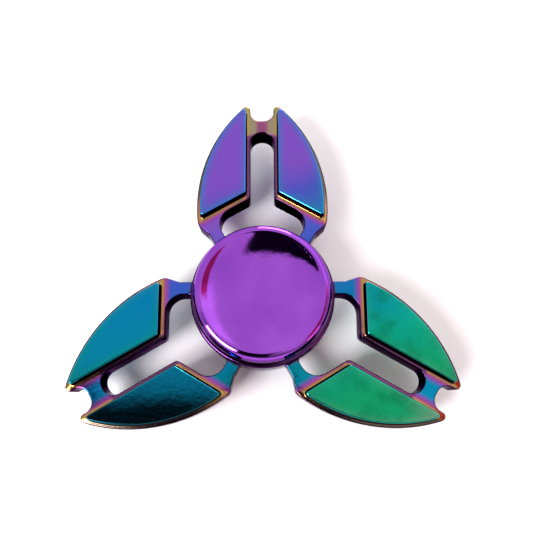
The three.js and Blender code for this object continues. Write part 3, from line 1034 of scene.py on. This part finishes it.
@dataclass(frozen=True)
class ArmOutline:
    """Outlines of one arm in its own coordinates: u outwards, v across, in millimetres."""

    hub_radius: float = 13.2
    hub_inset: float = 0.05
    tip: tuple[float, float] = (37.9, 3.1)
    heel: tuple[float, float] = (19.8, 3.1)
    shoulder: tuple[float, float] = (15.0, 11.6)
    back_radius: float = 27.8
    claw_corner: float = 0.45
    slot_ledge: float = 0.8
    base_ledge: float = 0.95
    back_ledge: float = 0.8
    bridge_outer: float = 35.5
    bridge_inner: float = 32.9
    notch_radius: float = 1.9
    slot_end_radius: float = 2.2
    tip_radius: float = 0.8
    heel_radius: float = 1.0
    shoulder_radius: float = 1.3
    web_shoulder_u: float = 13.9
    neck_bend: tuple[float, float] = (12.0, 10.1)
    neck_bend_radius: float = 2.2
    armpit_radius: float = 3.2
    armpit_slope: float = math.radians(30)
    neck_inner: float = math.radians(31.5)
    neck_outer: float = math.radians(42)
    root_radius: float = 0.6
    back_steps: int = 40
    hub_steps: int = 24

    @property
    def back_centre(self) -> np.ndarray:
        """Centre of the claw's curved back.

        Returns:
            The centre, as (u, v).
        """
        first, second = np.array(self.tip), np.array(self.shoulder)
        half = (second - first) / 2
        inwards = unit(np.array([-half[1], half[0]]))
        return first + half + inwards * math.sqrt(self.back_radius**2 - float(half @ half))

    @property
    def base_way(self) -> np.ndarray:
        """Direction of the claw's base edge, from heel to shoulder."""
        return unit(np.array(self.shoulder) - np.array(self.heel))

    def _arc(self, first: np.ndarray, second: np.ndarray) -> list[Corner]:
        """Corners on an arc about the back's centre, between two of its points.

        Args:
            first: Where the arc starts.
            second: Where it ends.

        Returns:
            The corners between the two.
        """
        centre = self.back_centre
        start, end = first - centre, second - centre
        begin = math.atan2(start[1], start[0])
        sweep = math.atan2(end[1], end[0]) - begin
        angles = [begin + sweep * k / self.back_steps for k in range(1, self.back_steps)]
        radius = float(np.linalg.norm(start))
        return [Corner(centre[0] + radius * math.cos(a), centre[1] + radius * math.sin(a)) for a in angles]

    def _on_hub(self, angle: float, radius: float = 0.0) -> Corner:
        """A corner just inside the hub's outside, at an angle from the arm's middle."""
        reach = self.hub_radius - self.hub_inset
        return Corner(reach * math.cos(angle), reach * math.sin(angle), radius)

    def _hub_arc(self, start: float, end: float) -> list[Corner]:
        """Corners along the hub between two angles."""
        return [self._on_hub(start + (end - start) * k / self.hub_steps) for k in range(1, self.hub_steps)]

    def claw(self, side: int) -> np.ndarray:
        """Outline of the raised claw on one side of the arm.

        Args:
            side: 1 for the left side, -1 for the right.

        Returns:
            The outline's points.
        """
        back = self._arc(np.array(self.tip), np.array(self.shoulder))
        corners = [
            Corner(*self.heel, self.claw_corner),
            Corner(*self.tip, self.claw_corner),
            *back,
            Corner(*self.shoulder, self.claw_corner),
        ]
        return rounded(corners if side > 0 else [c.flipped() for c in corners])

    def outside(self) -> np.ndarray:
        """Outline of the whole web, all arms round the hub.

        Returns:
            The outline's points.
        """
        edge = self.heel[1] - self.slot_ledge
        centre, reach = self.back_centre, self.back_radius + self.back_ledge
        tip = np.array([centre[0] + math.sqrt(reach**2 - (edge - centre[1]) ** 2), edge])
        rise = math.sqrt(reach**2 - (self.web_shoulder_u - centre[0]) ** 2)
        shoulder = np.array([self.web_shoulder_u, centre[1] + rise])
        half = [
            Corner(self.bridge_outer, edge, self.notch_radius),
            Corner(tip[0], tip[1], self.tip_radius),
            *self._arc(tip, shoulder),
            Corner(shoulder[0], shoulder[1], self.shoulder_radius),
            Corner(*self.neck_bend, self.neck_bend_radius),
            self._on_hub(self.neck_outer, self.root_radius),
        ]
        step = 2 * math.pi / ARMS
        arm = [c.flipped() for c in reversed(half)] + half
        arm += self._hub_arc(self.neck_outer, step - self.neck_outer)
        return rounded([c.turned(step * k) for k in range(ARMS) for c in arm])

    def opening(self) -> np.ndarray:
        """Outline of the opening inside the arm: slot, heels, armpits and the hub's outside.

        Returns:
            The outline's points.
        """
        heel, way = np.array(self.heel), self.base_way
        base = heel + np.array([-way[1], way[0]]) * self.base_ledge
        edge = self.heel[1] - self.slot_ledge
        root = self._on_hub(self.neck_inner, self.root_radius)
        neck = np.array([math.cos(self.armpit_slope), math.sin(self.armpit_slope)])
        corner = meeting(np.array([0.0, edge]), np.array([-1.0, 0.0]), base, way)
        armpit = meeting(root.at, neck, base, way)
        half = [
            Corner(self.bridge_inner, edge, self.slot_end_radius),
            Corner(corner[0], corner[1], self.heel_radius),
            Corner(armpit[0], armpit[1], self.armpit_radius),
            root,
        ]
        hub = self._hub_arc(self.neck_inner, -self.neck_inner)
        return rounded([c.flipped() for c in reversed(half)] + half + hub)


@dataclass
class ClawFrame:
    """The one-piece cast frame: hub ring, web and three pairs of raised claws."""

    web_half: float = 2.4
    hub_half: float = 3.5
    bore_radius: float = 11.03
    disc_hole: float = 12.0
    hub_edge: float = 0.45
    web_edge: float = 0.25
    claw_edge: float = 0.28
    foot: float = 0.3
    draft: float = 0.06
    edge_steps: int = 4
    web_edge_steps: int = 3
    hole_points: int = 41

    def __post_init__(self) -> None:
        """Takes the claws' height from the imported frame."""
        self.outline = ArmOutline()
        self.claw_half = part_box("frame")[1][2] / MM

    def _raise_claw(self, stock: Stock, outline: np.ndarray) -> np.ndarray:
        """Builds one claw above the web.

        Args:
            stock: The mesh to add to.
            outline: The claw's outline.

        Returns:
            The outline of the claw's foot.
        """
        levels: Profile = []
        for run, drop in quarter(self.claw_edge, self.edge_steps):
            levels.append((run - self.claw_edge, self.claw_half - drop))
        for run, drop in reversed(quarter(self.foot, self.edge_steps)):
            levels.append((self.draft + self.foot - run, self.web_half + drop))
        rings = [stock.ring(grown(outline, run), height) for run, height in levels]
        stock.mesh.faces.new(rings[0])
        for upper, lower in zip(rings, rings[1:]):
            stock.skin(upper, lower)
        return grown(outline, levels[-1][0])

    def _edge(self, stock: Stock, outline: np.ndarray, side: int) -> np.ndarray:
        """Rounds a closed edge of the web down to the middle plane.

        Args:
            stock: The mesh to add to.
            outline: The edge's outline.
            side: 1 where metal lies inside the outline, -1 where it lies outside.

        Returns:
            The edge's outline at the web's top.
        """
        turn = quarter(self.web_edge, self.web_edge_steps)
        levels = [(side * (run - self.web_edge), self.web_half - drop) for run, drop in turn]
        levels.append((0.0, 0.0))
        rings = [stock.ring(grown(outline, run), height) for run, height in levels]
        for upper, lower in zip(rings, rings[1:]):
            stock.skin(upper, lower)
        return grown(outline, levels[0][0])

    def _third(self, outline: np.ndarray, whole: np.ndarray) -> np.ndarray:
        """The stretch of a closed line that belongs to the first arm, ends included.

        Args:
            outline: The line that decides where the stretch starts and ends.
            whole: The line to cut, point for point alike.

        Returns:
            The stretch's points.
        """
        away = np.arctan2(outline[:, 1], outline[:, 0])
        limit = math.pi / ARMS
        start = int(np.argmin(np.abs(away + limit)))
        end = int(np.argmin(np.abs(away - limit)))
        rolled = np.roll(whole, -start, axis=0)
        return rolled[: (end - start) % len(whole) + 1]

    def _arm(self) -> bpy.types.Object:
        """One arm with its third of the hub's disc, open at its two cuts.

        Returns:
            The arm.
        """
        stock = Stock()
        whole = self.outline.outside()
        turn = quarter(self.web_edge, self.web_edge_steps)
        levels = [(run - self.web_edge, self.web_half - drop) for run, drop in turn]
        levels.append((0.0, 0.0))
        cuts = [self._third(whole, grown(whole, run)) for run, _ in levels]
        rings = [stock.ring(cut, height) for cut, (_, height) in zip(cuts, levels)]
        for upper, lower in zip(rings, rings[1:]):
            stock.skin(upper, lower, closed=False)
        angles = np.linspace(math.pi / ARMS, -math.pi / ARMS, self.hole_points)
        hole = self.disc_hole * np.stack([np.cos(angles), np.sin(angles)], axis=1)
        stock.skin(stock.ring(hole, self.web_half), stock.ring(hole, 0.0), closed=False)
        opening = self._edge(stock, self.outline.opening(), -1)
        feet = [self._raise_claw(stock, self.outline.claw(side)) for side in (1, -1)]
        stock.fill(np.concatenate([cuts[0], hole]), [opening, *feet], self.web_half)
        stock.mirror_below()
        bmesh.ops.rotate(stock.mesh, verts=stock.mesh.verts[:], matrix=Matrix.Rotation(math.pi / 2, 3, "Z"))
        return stock.part("claw_frame", closed=False)

    def _hub(self) -> bpy.types.Object:
        """The hub ring, bored for the bearing.

        Returns:
            The ring.
        """
        side = [
            (self.bore_radius, self.hub_half - self.hub_edge),
            (self.bore_radius + self.hub_edge, self.hub_half),
        ]
        for run, drop in quarter(self.hub_edge, self.edge_steps):
            side.append((self.outline.hub_radius - self.hub_edge + run, self.hub_half - drop))
        return lathed("hub_ring", side + mirrored(side), 240, ring=True)

    def build(self, finish: bpy.types.Material) -> bpy.types.Object:
        """Makes the frame in one closed piece and dresses it.

        Args:
            finish: The plating.

        Returns:
            The frame.
        """
        plate = RoundRepeat("arms_round_hub", ARMS).apply(self._arm(), finish)
        body = bmesh.new()
        body.from_mesh(plate.data)
        bmesh.ops.recalc_face_normals(body, faces=body.faces[:])
        body.to_mesh(plate.data)
        body.free()
        hub = self._hub()
        join = plate.modifiers.new("hub", "BOOLEAN")
        join.operation = "UNION"
        join.solver = "EXACT"
        join.object = hub
        whole = settled(plate, "claw_frame")
        bpy.data.objects.remove(hub, do_unlink=True)
        whole = shaded(whole)
        dress(whole, finish)
        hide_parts("frame")
        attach(whole, "rotor")
        return whole


def dress(made: bpy.types.Object, finish: bpy.types.Material) -> None:
    """Gives an object one material all over."""
    made.data.materials.clear()
    made.data.materials.append(finish)


# ---- Finger caps --------------------------------------------------------------------------------


@dataclass
class FingerCaps:
    """The two dished finger caps and the stud that joins them."""

    rim_outer: float = 11.45
    rim_inner: float = 10.85
    bowl_power: float = 2.4
    bowl_share: float = 0.86
    wall_power: float = 16.0
    dish_depth: float = 1.2
    base_height: float = 4.1
    wall_height: float = 0.4
    collar_radius: float = 5.9
    boss_radius: float = 3.97
    flange_foot: float = 3.53
    boss_end: float = 0.1
    socket_radius: float = 1.53
    socket_end: float = 3.2
    stud_radius: float = 1.5
    stud_half: float = 3.1
    edge: float = 0.3
    foot_round: float = 0.25
    foot_chamfer: float = 0.07
    shoulder_fall: float = 0.05
    shoulder_steps: int = 14
    rim_round: float = 0.08
    rim_fall: float = 0.06
    dish_steps: int = 34
    segments: int = 224

    def __post_init__(self) -> None:
        """Takes the caps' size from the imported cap."""
        self.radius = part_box("cap_top")[1][0] / MM
        self.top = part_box("cap_top")[1][2] / MM

    def _dish(self) -> Profile:
        """From the rim's inner rounding, down a bowl that flattens out towards the middle.

        Returns:
            (radius, height) pairs, inwards.
        """
        levels = []
        for k in range(1, self.dish_steps):
            share = 1 - k / self.dish_steps
            bowl = self.bowl_share * (1 - share**self.bowl_power)
            fall = bowl + (1 - self.bowl_share) * (1 - share**self.wall_power)
            levels.append((self.rim_inner * share, self.top - self.dish_depth * fall))
        return levels

    def _profile(self) -> Profile:
        """The whole cap from axis to axis.

        Returns:
            (radius, height) pairs.
        """
        start = self.base_height + self.wall_height
        rise, run = self.top - self.shoulder_fall - start, self.radius - self.rim_outer
        angles = [math.pi / 2 * k / self.shoulder_steps for k in range(self.shoulder_steps)]
        shoulder = [(self.rim_outer + run * math.cos(a), start + rise * math.sin(a)) for a in angles]
        return [
            (0.0, self.socket_end),
            (self.socket_radius, self.socket_end),
            (self.socket_radius, self.boss_end),
            (self.boss_radius - self.edge, self.boss_end),
            (self.boss_radius, self.boss_end + self.edge),
            (self.boss_radius, self.flange_foot),
            (self.collar_radius, self.flange_foot),
            (self.collar_radius, self.base_height),
            (self.radius - self.foot_round, self.base_height),
            (self.radius - self.foot_chamfer, self.base_height + self.foot_chamfer),
            (self.radius, self.base_height + self.foot_round),
            *shoulder,
            (self.rim_outer, self.top - self.rim_fall),
            (self.rim_outer - self.rim_round, self.top),
            (self.rim_inner, self.top),
            *self._dish(),
            (0.0, self.top - self.dish_depth),
        ]

    def build(self, plating: bpy.types.Material, steel: bpy.types.Material) -> list[bpy.types.Object]:
        """Makes both caps and the stud.

        Args:
            plating: The caps' plating.
            steel: The stud's steel.

        Returns:
            The three pieces.
        """
        profile = self._profile()
        made = []
        for node, turned in (("cap_top", profile), ("cap_bottom", [(r, -h) for r, h in profile])):
            cap = lathed(f"finger_{node}", turned, self.segments)
            dress(cap, plating)
            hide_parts(node)
            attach(cap, "core")
            made.append(cap)
        inset = self.stud_radius - self.edge
        end = [(inset + run, self.stud_half - drop) for run, drop in quarter(self.edge, 4)]
        half = [(0.0, self.stud_half), *end]
        stud = lathed("threaded_stud", half + mirrored(half), 48)
        dress(stud, steel)
        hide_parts("cap_stud")
        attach(stud, "core")
        return [*made, stud]


# ---- Bearing ------------------------------------------------------------------------------------


@dataclass
class Bearing:
    """The shielded ball bearing in the hub."""

    pitch: float = 7.5
    groove: float = 2.1
    inner_land: float = 6.05
    outer_land: float = 9.15
    seat_radius: float = 9.6
    seat_height: float = 2.6
    bore: float = 4.0
    edge: float = 0.3
    shield_gap: float = 0.03
    pocket_gap: float = 0.05
    sheet: float = 0.25
    balls: int = 7
    race_points: int = 17
    rivet_seat: float = 0.36
    segments: int = 144

    def __post_init__(self) -> None:
        """Takes the bearing's radius and width from its packed outer ring."""
        low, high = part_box("bearing_outer_ring")
        self.radius = (high[1] - low[1]) / 2 / MM
        self.half = high[2] / MM

    def _on_pitch(self, angle: float, height: float) -> tuple[float, float, float]:
        """A place on the balls' pitch circle, in metres."""
        return (self.pitch * MM * math.cos(angle), self.pitch * MM * math.sin(angle), height)

    def _race(self, land: float) -> Profile:
        """The groove that the balls run in, across a ring's land.

        Args:
            land: The land's radius.

        Returns:
            (radius, height) pairs, upwards.
        """
        depth = land - self.pitch
        reach = math.acos(abs(depth) / self.groove)
        angles = np.linspace(-reach, reach, self.race_points)
        side = math.copysign(self.groove, depth)
        return [(self.pitch + side * math.cos(a), self.groove * math.sin(a)) for a in angles]

    def _ring(
        self, name: str, node: str, body: str, side: Profile, land: float, steel: bpy.types.Material
    ) -> bpy.types.Object:
        """One race ring with rounded edges.

        Args:
            name: The piece's name.
            node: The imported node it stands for.
            body: The body it rides on.
            side: Half of its outline past the groove.
            land: The radius of its land.
            steel: Its steel.

        Returns:
            The ring.
        """
        profile = self._race(land) + side + mirrored(side)
        ring = lathed(name, profile, self.segments, ring=True)
        return self._fit(ring, node, body, "bearing_steel", steel)

    @staticmethod
    def _fit(
        made: bpy.types.Object, node: str, body: str, slot: str, steel: bpy.types.Material
    ) -> bpy.types.Object:
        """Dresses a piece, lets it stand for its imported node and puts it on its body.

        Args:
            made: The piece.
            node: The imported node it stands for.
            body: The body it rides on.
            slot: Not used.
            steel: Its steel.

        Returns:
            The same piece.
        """
        dress(made, steel)
        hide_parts(node)
        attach(made, body)
        return made

    def _shield(self, name: str, node: str, side: int, steel: bpy.types.Material) -> bpy.types.Object:
        """A pressed dust shield with a raised middle.

        Args:
            name: The piece's name.
            node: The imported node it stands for.
            side: 1 for the upper shield, -1 for the lower.
            steel: Its steel.

        Returns:
            The shield.
        """
        low = self.seat_height + self.shield_gap
        high = low + self.sheet
        flange = self.seat_radius - self.shield_gap
        raised, inner = self.outer_land - 0.6, self.inner_land + 0.25
        profile = [
            (flange, low),
            (flange, high),
            (raised + 0.2, high),
            (raised + 0.1, high + 0.1),
            (raised, high + self.sheet),
            (inner, high + self.sheet),
            (inner, high),
            (raised - 0.2, high),
            (raised, low),
        ]
        made = lathed(name, [(r, side * h) for r, h in profile], self.segments, ring=True)
        return self._fit(made, node, "rotor", "shield_steel", steel)

    def _rivets(self, steel: bpy.types.Material) -> bpy.types.Object:
        """Seven rivets through the cage, in one piece.

        Args:
            steel: Their steel.

        Returns:
            The rivets.
        """
        seat = self.rivet_seat
        head = [(0.0, seat + 0.28), (0.25, seat + 0.26), (0.46, seat + 0.18), (0.57, seat), (0.3, seat)]
        rivet = lathed("cage_rivets", head + mirrored(head), 20)
        angle = math.pi / 2 + math.pi / self.balls
        rivet.data.transform(Matrix.Translation(self._on_pitch(angle, 0.0)))
        made = RoundRepeat("rivets_round_cage", self.balls).apply(rivet, steel)
        made = shaded(made)
        dress(made, steel)
        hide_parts(*[f"cage_rivet_{i + 1}" for i in range(self.balls)])
        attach(made, "cage")
        return made

    def build(
        self, ground: bpy.types.Material, pressed: bpy.types.Material, polished: bpy.types.Material
    ) -> list[bpy.types.Object]:
        """Makes the rings, shields, rivets and balls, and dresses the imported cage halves.

        Args:
            ground: Steel of the rings.
            pressed: Steel of the shields, rivets and cage.
            polished: Steel of the balls.

        Returns:
            The pieces made.
        """
        outer = [
            (self.outer_land, self.seat_height),
            (self.seat_radius, self.seat_height),
            (self.seat_radius, self.half),
            *[(self.radius - self.edge + run, self.half - drop) for run, drop in quarter(self.edge, 4)],
        ]
        inner = [
            (self.inner_land, self.half),
            *[(self.bore + self.edge - run, self.half - drop) for run, drop in quarter(self.edge, 4)],
        ]
        made = [
            self._ring("outer_race", "bearing_outer_ring", "rotor", outer, self.outer_land, ground),
            self._ring("inner_race", "bearing_inner_ring", "core", inner, self.inner_land, ground),
            self._shield("dust_shield_upper", "shield_upper", 1, pressed),
            self._shield("dust_shield_lower", "shield_lower", -1, pressed),
            self._rivets(pressed),
        ]
        for i in range(self.balls):
            node = f"ball_{i + 1}"
            low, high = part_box(node)
            angle = math.pi / 2 + 2 * math.pi * i / self.balls
            centre = self._on_pitch(angle, (low[2] + high[2]) / 2)
            radius = (high[2] - low[2]) / 2 - self.pocket_gap * MM
            ball = BallMaker(f"race_{node}", radius, centre).make(polished)
            made.append(self._fit(ball, node, node, "ball_steel", polished))
        for node in ("cage_upper", "cage_lower"):
            dress(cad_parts[node], pressed)
        return made


# ---- Studio -------------------------------------------------------------------------------------


@dataclass(frozen=True)
class Studio:
    """A pale floor, soft lights and the camera."""

    target: tuple[float, float, float] = (0.75, 5.95, 0.98)
    elevation: float = 76.07
    distance: float = 107.86
    lens: float = 38.53
    roll: float = -0.31

    def _floor(self) -> None:
        """The pale floor under the lower cap."""
        stock = Stock()
        half = 9000.0
        square = np.array([[-half, -half], [half, -half], [half, half], [-half, half]])
        stock.mesh.faces.new(stock.ring(square, CAD_BOUNDS[0][2] / MM - 0.02))
        floor = stock.part("floor", closed=False)
        s = Surface.start("floor_paper", metallic=0.0)
        tone = s.graph.noise(s.place, 0.02)
        s.dress(s.graph.mix(tone, paint("F4F4F4"), paint("F8F8F8")), 0.7, None, 0.0)
        dress(floor, s.material)

    @staticmethod
    def _light(
        name: str,
        place: tuple[float, float, float],
        size: float,
        power: float,
        colour: tuple[float, float, float],
    ) -> None:
        """A soft square light aimed at the hub.

        Args:
            name: The light's name.
            place: Where it stands, in millimetres.
            size: Its side, in millimetres.
            power: Its power, in watts.
            colour: Its colour.
        """
        data = bpy.data.lights.new(name, "AREA")
        data.size = size * MM
        data.energy = power
        data.color = colour
        light = bpy.data.objects.new(name, data)
        bpy.context.scene.collection.objects.link(light)
        light.location = Vector(place) * MM
        light.rotation_euler = (-Vector(place)).to_track_quat("-Z", "Y").to_euler()

    def _camera(self) -> None:
        """The camera, above the near side."""
        lean, tilt = math.radians(self.elevation), math.radians(self.roll)
        back = Vector((0.0, -math.cos(lean), math.sin(lean)))
        right = Vector((1.0, 0.0, 0.0))
        up = back.cross(right)
        right, up = (
            right * math.cos(tilt) + up * math.sin(tilt),
            up * math.cos(tilt) - right * math.sin(tilt),
        )
        data = bpy.data.cameras.new("camera")
        data.lens = self.lens
        data.sensor_width = 36.0
        data.clip_start = 0.005
        camera = bpy.data.objects.new("camera", data)
        bpy.context.scene.collection.objects.link(camera)
        place = (Vector(self.target) + back * self.distance) * MM
        turn = Matrix((right, up, back)).transposed().to_4x4()
        camera.matrix_world = Matrix.Translation(place) @ turn
        bpy.context.scene.camera = camera

    def _sky(self) -> None:
        """Soft white surroundings with a dark and a rose card for the plating to mirror."""
        world = bpy.data.worlds.new("studio")
        world.use_nodes = True
        bpy.context.scene.world = world
        graph = Graph(world.node_tree)
        ray = graph.node("ShaderNodeTexCoord", {}, {}).outputs["Generated"]
        way = graph.node("ShaderNodeSeparateXYZ", {}, {0: ray}).outputs
        across, along, rise = (Signal(graph, way[i]) for i in range(3))
        overhead = rise.step(0.3, 0.5)
        tone = graph.ramp(rise, [(0.0, paint("E8EAEC")), (0.14, paint("B8BCC0")), (0.6, paint("FFFFFF"))])
        rose = across.step(0.34, 0.38) * across.step(0.75, 0.65) * overhead
        rose = rose * along.step(-0.4, -0.3) * along.step(0.3, 0.2)
        tone = graph.mix(rose * 0.95, tone, paint("D83864"))
        card = along.step(0.05, 0.0) * along.step(-0.8, -0.6) * overhead
        card = card * across.step(-0.7, -0.5) * across.step(0.1, 0.04)
        card = card.most(along.step(-0.42, -0.58) * rise.step(0.2, 0.3) * 0.85)
        tone = graph.mix(card, tone, paint("140E1A"))
        strength = 1.0 + across.step(0.18, 0.3) * along.step(0.1, 0.2) * overhead * 0.6
        sky = graph.node("ShaderNodeBackground", {}, {0: tone, 1: strength})
        graph.node("ShaderNodeOutputWorld", {}, {0: sky.outputs[0]})

    def build(self) -> None:
        """Sets the stage."""
        self._floor()
        self._sky()
        self._light("key_light", (-230, -170, 330), 190, 2.2, (1.0, 0.97, 1.0))
        self._light("back_light", (60, 380, 170), 150, 0.8, (1.0, 1.0, 1.0))
        self._light("rose_light", (310, -190, 150), 110, 0.2, (1.0, 0.3, 0.4))
        bpy.context.scene.view_settings.view_transform = "Standard"
        self._camera()


# ---- Making -------------------------------------------------------------------------------------


def main() -> None:
    """Builds the spinner piece by piece and sets the stage."""
    logging.basicConfig(level=logging.INFO, format="%(message)s")
    claws = ClawFrame()
    plating = RainbowPlating(claws.outline, claws.claw_half, claws.web_half, claws.outline.hub_radius)
    pieces: list[bpy.types.Object] = [claws.build(plating.material())]
    ground = Steel(Grade.GROUND, "B9BCC0", 0.16).material()
    pressed = Steel(Grade.PRESSED, "A9A6A0", 0.28).material()
    polished = Steel(Grade.POLISHED, "CDCFD3", 0.04).material()
    caps = FingerCaps()
    purple = PurplePlating(caps.rim_outer, caps.radius).material()
    pieces += caps.build(purple, ground)
    pieces += Bearing().build(ground, pressed, polished)
    for made in pieces:
        LOG.info("%s: %d faces", made.name, len(made.data.polygons))
    Studio().build()


if __name__ == "__main__":
    main()
